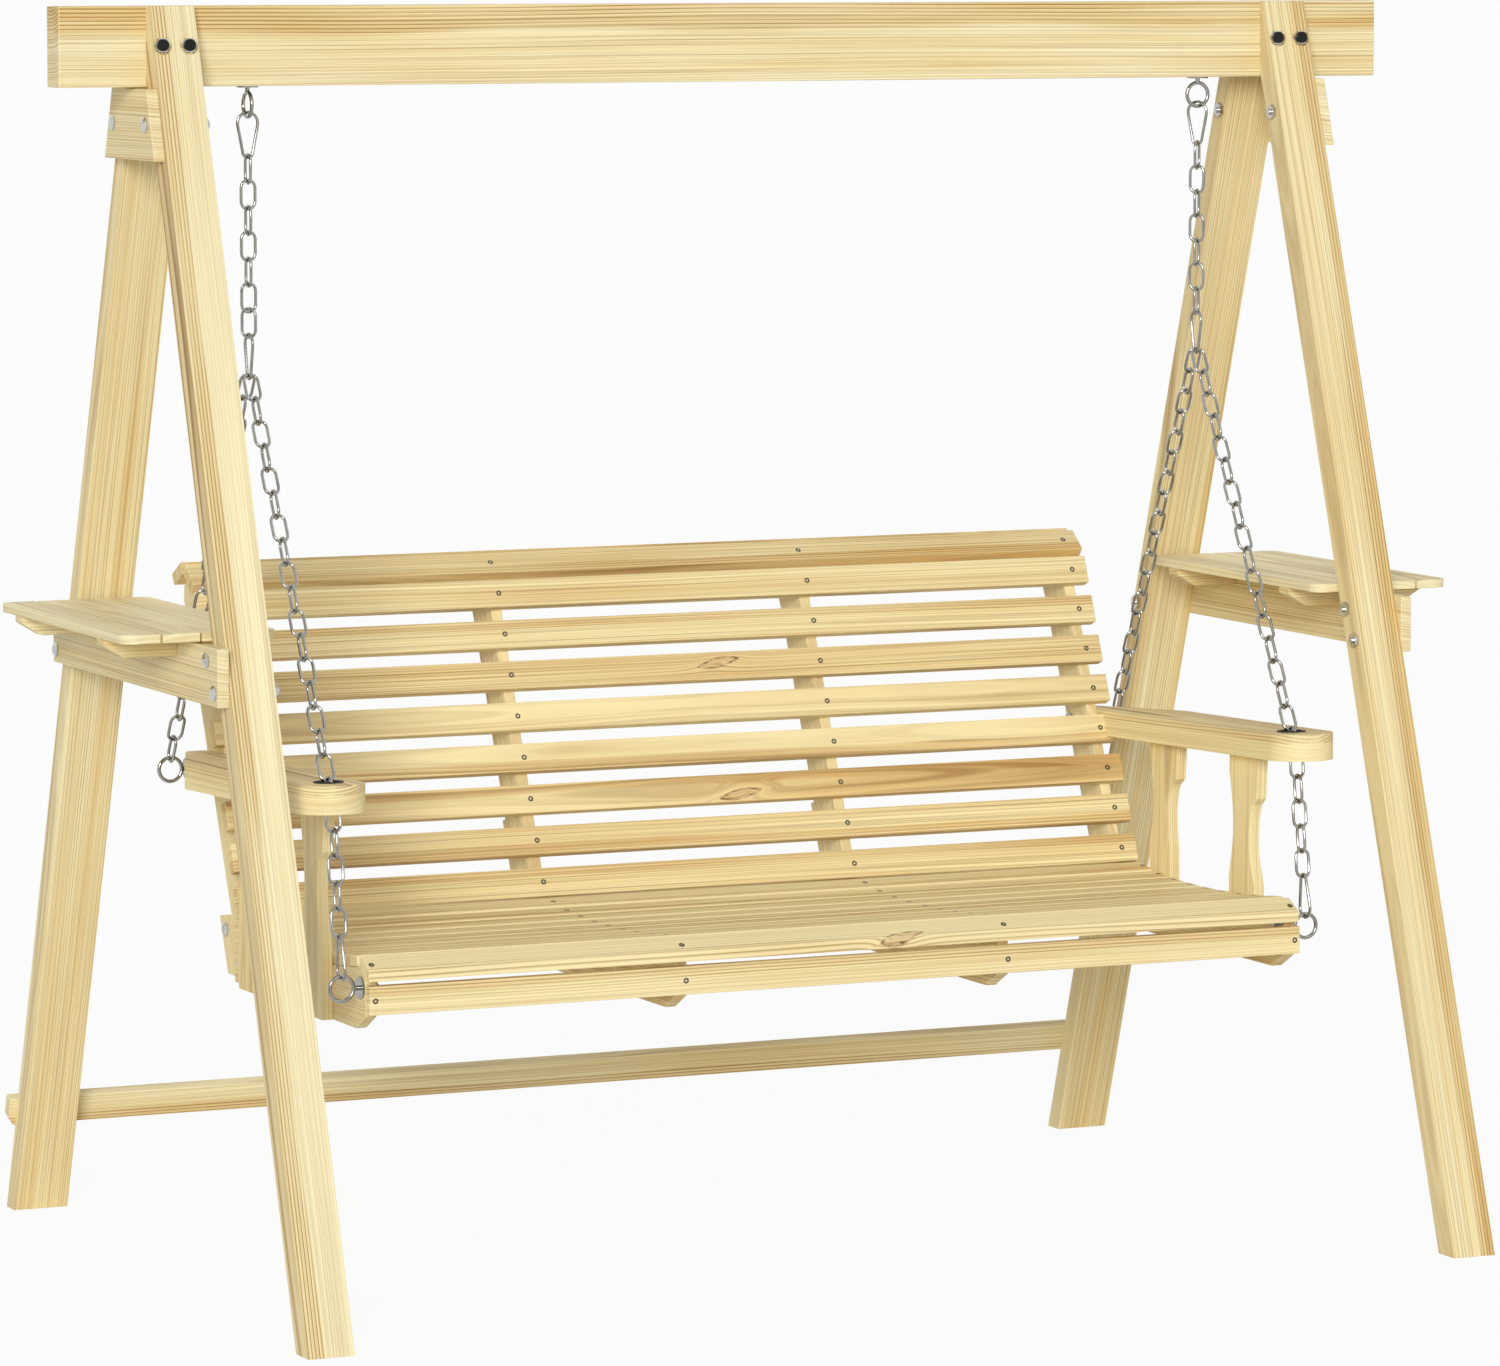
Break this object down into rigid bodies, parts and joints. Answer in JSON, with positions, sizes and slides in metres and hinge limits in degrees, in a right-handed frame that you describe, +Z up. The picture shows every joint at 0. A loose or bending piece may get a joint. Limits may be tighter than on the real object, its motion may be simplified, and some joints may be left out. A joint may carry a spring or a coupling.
{
  "type": "porch swing",
  "caption": "Slatted wooden bench hung on steel chains from an A-frame stand, with a tray at each side; the bench swings and tilts.",
  "frame": {"origin": "on the ground, straight below the middle of the top beam", "axes": "+X along the top beam to the right as seen from the front, +Y towards the back, +Z up"},
  "size_m": [1.85, 1.12, 1.596],
  "materials": {
    "pine_stand": "planed pine, clear satin",
    "pine_bench": "planed pine, clear satin",
    "zinc_steel": "bright zinc plate",
    "black_plastic": "satin"
  },
  "bodies": {
    "stand": {"top_beam": "pine_stand", "front_left_leg": "pine_stand", "front_right_leg": "pine_stand", "rear_left_leg": "pine_stand", "rear_right_leg": "pine_stand", "left_gusset": "pine_stand", "right_gusset": "pine_stand", "left_side_rail": "pine_stand", "right_side_rail": "pine_stand", "left_tray_boards": "pine_stand", "right_tray_boards": "pine_stand", "left_tray_cleats": "pine_stand", "right_tray_cleats": "pine_stand", "rear_stretcher": "pine_stand", "beam_bolts": "zinc_steel", "beam_bolt_caps": "black_plastic", "gusset_bolts": "zinc_steel", "rail_bolts": "zinc_steel", "beam_eyes": "zinc_steel"},
    "hanging_chain": {"upper_hooks": "zinc_steel", "hanging_chains": "zinc_steel", "lower_hooks": "zinc_steel"},
    "bench": {"front_chains": "zinc_steel", "rear_chains": "zinc_steel", "bottom_hooks": "zinc_steel", "front_eye_bolts": "zinc_steel", "rear_eye_bolts": "zinc_steel", "arm_grommets": "black_plastic", "left_arm": "pine_bench", "right_arm": "pine_bench", "front_left_post": "pine_bench", "front_right_post": "pine_bench", "rear_left_post": "pine_bench", "rear_right_post": "pine_bench", "left_seat_support": "pine_bench", "inner_left_seat_support": "pine_bench", "inner_right_seat_support": "pine_bench", "right_seat_support": "pine_bench", "left_upright": "pine_bench", "inner_left_upright": "pine_bench", "inner_right_upright": "pine_bench", "right_upright": "pine_bench", "joint_plates": "pine_bench", "seat_slats": "pine_bench", "bevel_slat": "pine_bench", "lip_slat": "pine_bench", "back_slats": "pine_bench", "shoulder_slat": "pine_bench", "roll_slat": "pine_bench", "bench_bolts": "zinc_steel"}
  },
  "joints": [
    {"name": "swing", "type": "hinge", "parent": "stand", "child": "hanging_chain", "pos_m": [0, 0, 1.46], "axis": [1, 0, 0], "range_deg": [-35, 35]},
    {"name": "bench_tilt", "type": "hinge", "parent": "hanging_chain", "child": "bench", "pos_m": [0, 0, 1.1364], "axis": [1, 0, 0], "range_deg": [-20, 20]}
  ]
}
